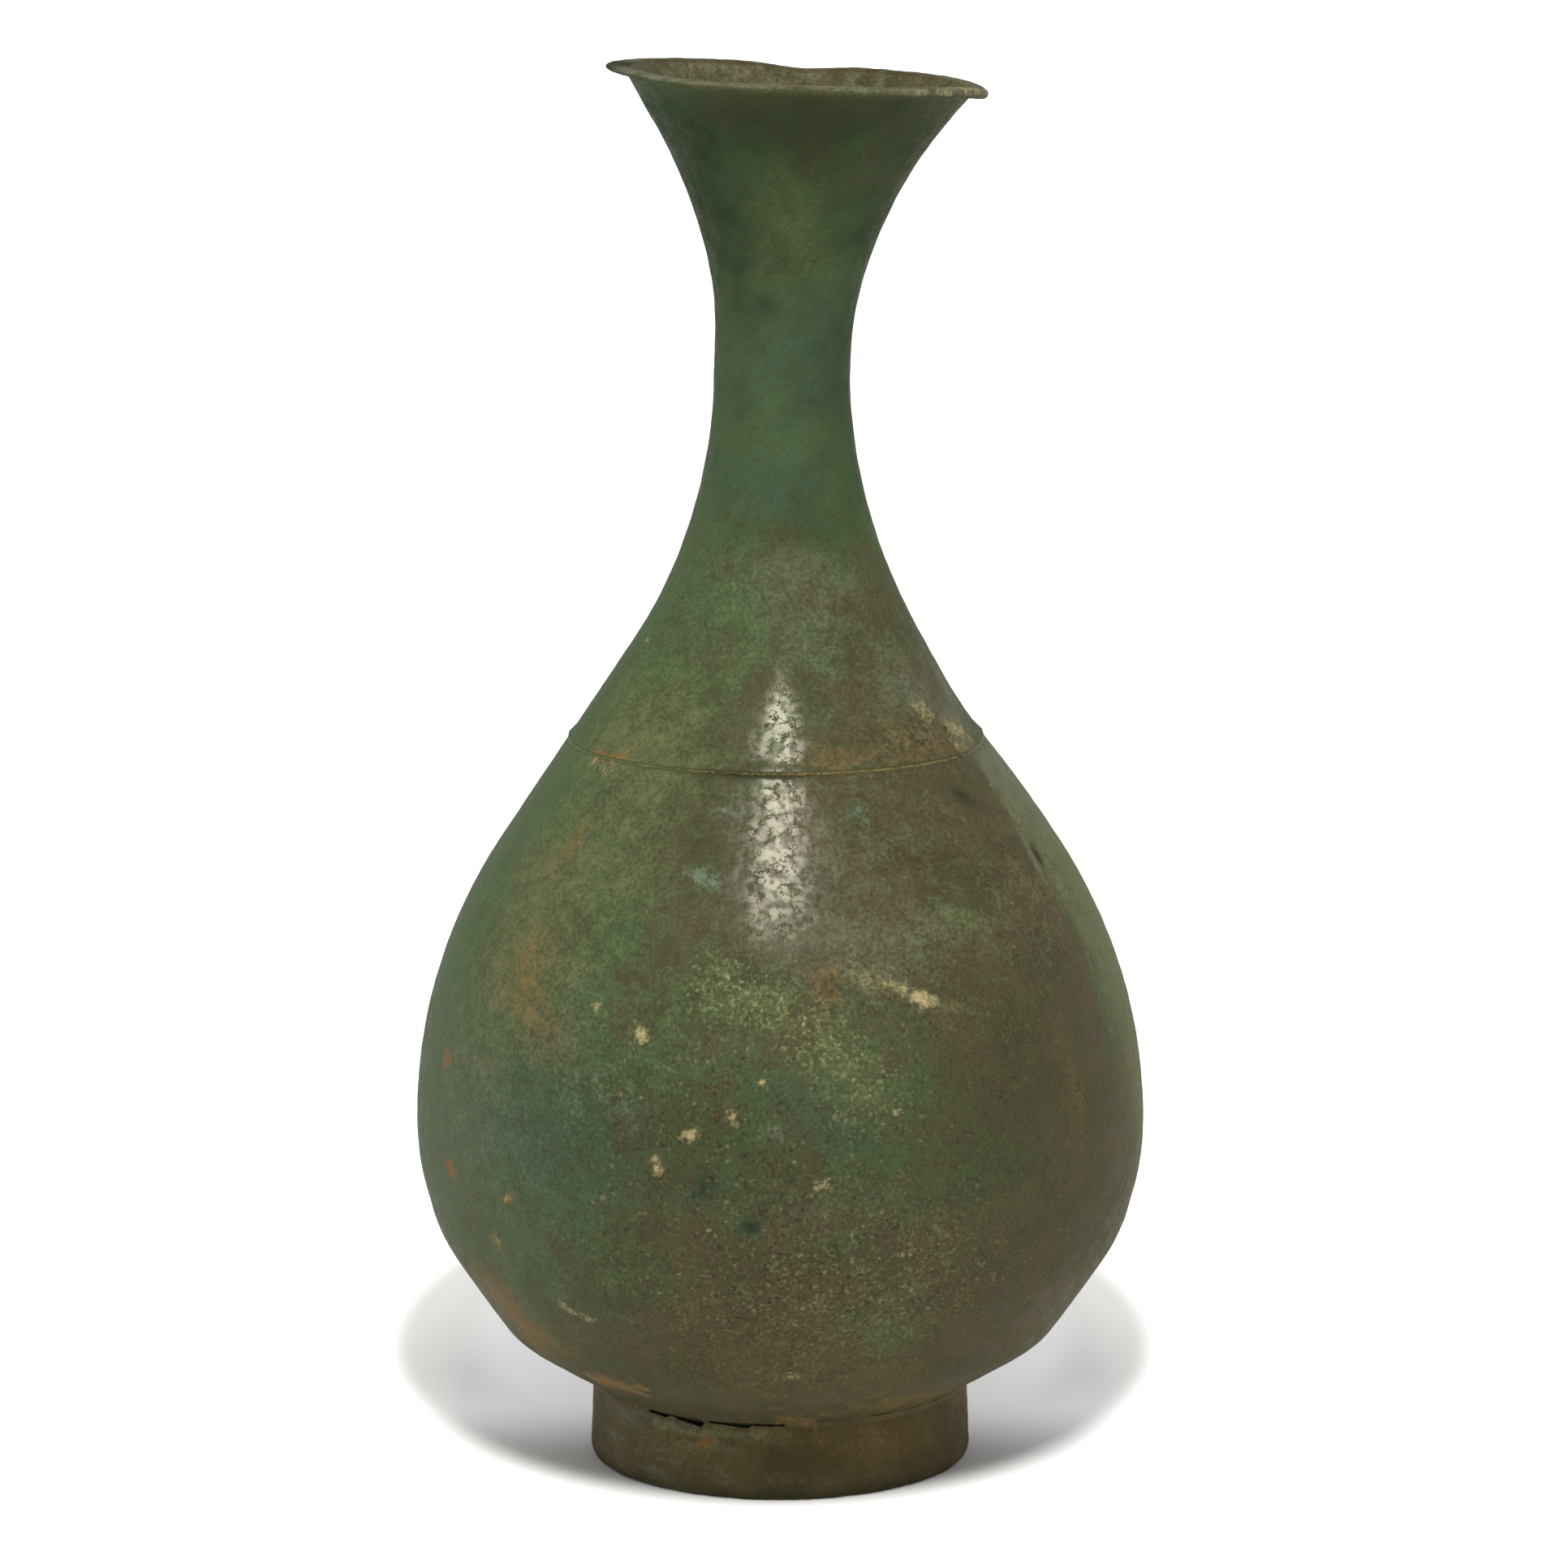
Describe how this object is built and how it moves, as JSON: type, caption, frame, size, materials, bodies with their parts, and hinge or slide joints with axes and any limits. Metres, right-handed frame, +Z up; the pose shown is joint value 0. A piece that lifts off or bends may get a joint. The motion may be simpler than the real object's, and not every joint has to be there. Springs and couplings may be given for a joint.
{
  "type": "bottle",
  "caption": "Pear-shaped bronze bottle with a slender neck, a leaning trumpet mouth with a turned-out lip, a soldered shoulder seam and a low ring foot.",
  "frame": {"origin": "centre of the circle that the foot ring stands on, on the table", "axes": "+Z up along the bottle's axis; -Y is the front in the picture, and the mouth leans towards +X"},
  "size_m": [0.169, 0.169, 0.3238],
  "materials": {
    "body_bronze": "bronze under a mottled green and brown patina, satin",
    "neck_bronze": "bronze under a green patina, satin",
    "foot_bronze": "bronze under a dark brown patina, satin",
    "seam_solder": "weathered lead and tin solder, dull tan"
  },
  "bodies": {
    "root": {"body": "body_bronze", "neck": "neck_bronze", "foot_ring": "foot_bronze", "shoulder_solder": "seam_solder", "foot_solder": "seam_solder"}
  },
  "joints": []
}
